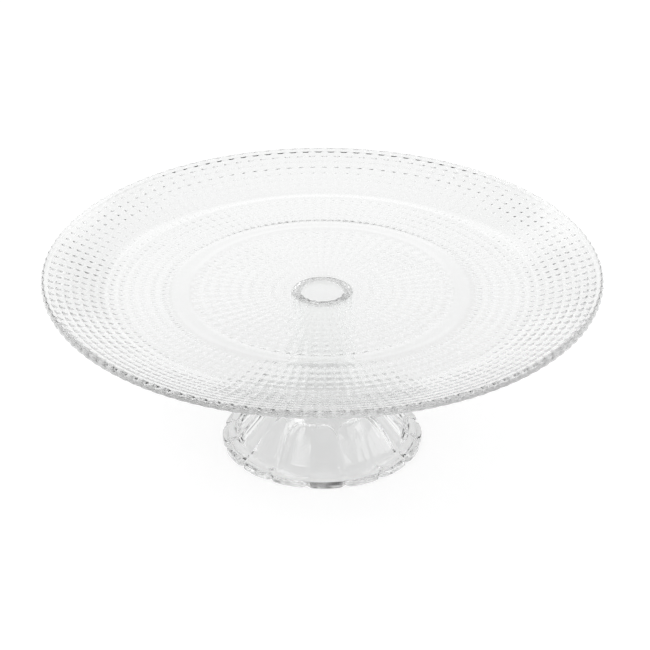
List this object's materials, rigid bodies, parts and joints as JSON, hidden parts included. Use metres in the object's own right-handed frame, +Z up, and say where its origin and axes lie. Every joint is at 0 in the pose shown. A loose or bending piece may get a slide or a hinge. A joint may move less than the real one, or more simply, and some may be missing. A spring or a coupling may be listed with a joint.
{
  "type": "cake stand",
  "caption": "Footed glass cake stand: a wide dished plate with a studded underside, bonded to a hollow stem with a panelled, stepped bell foot.",
  "frame": {"origin": "on the surface that the stand rests on, at the centre of the foot", "axes": "+Z up along the stem's axis; +X and +Y lie in the resting plane, each towards one of the foot's sixteen flutes"},
  "size_m": [0.32, 0.32, 0.11],
  "materials": {
    "plate_glass": "clear pressed glass, fire polished",
    "pedestal_glass": "clear pressed glass, fire polished",
    "clear_adhesive": "cured clear acrylic adhesive"
  },
  "bodies": {
    "root": {"plate": "plate_glass", "pedestal": "pedestal_glass", "bond_ring": "clear_adhesive"}
  },
  "joints": []
}
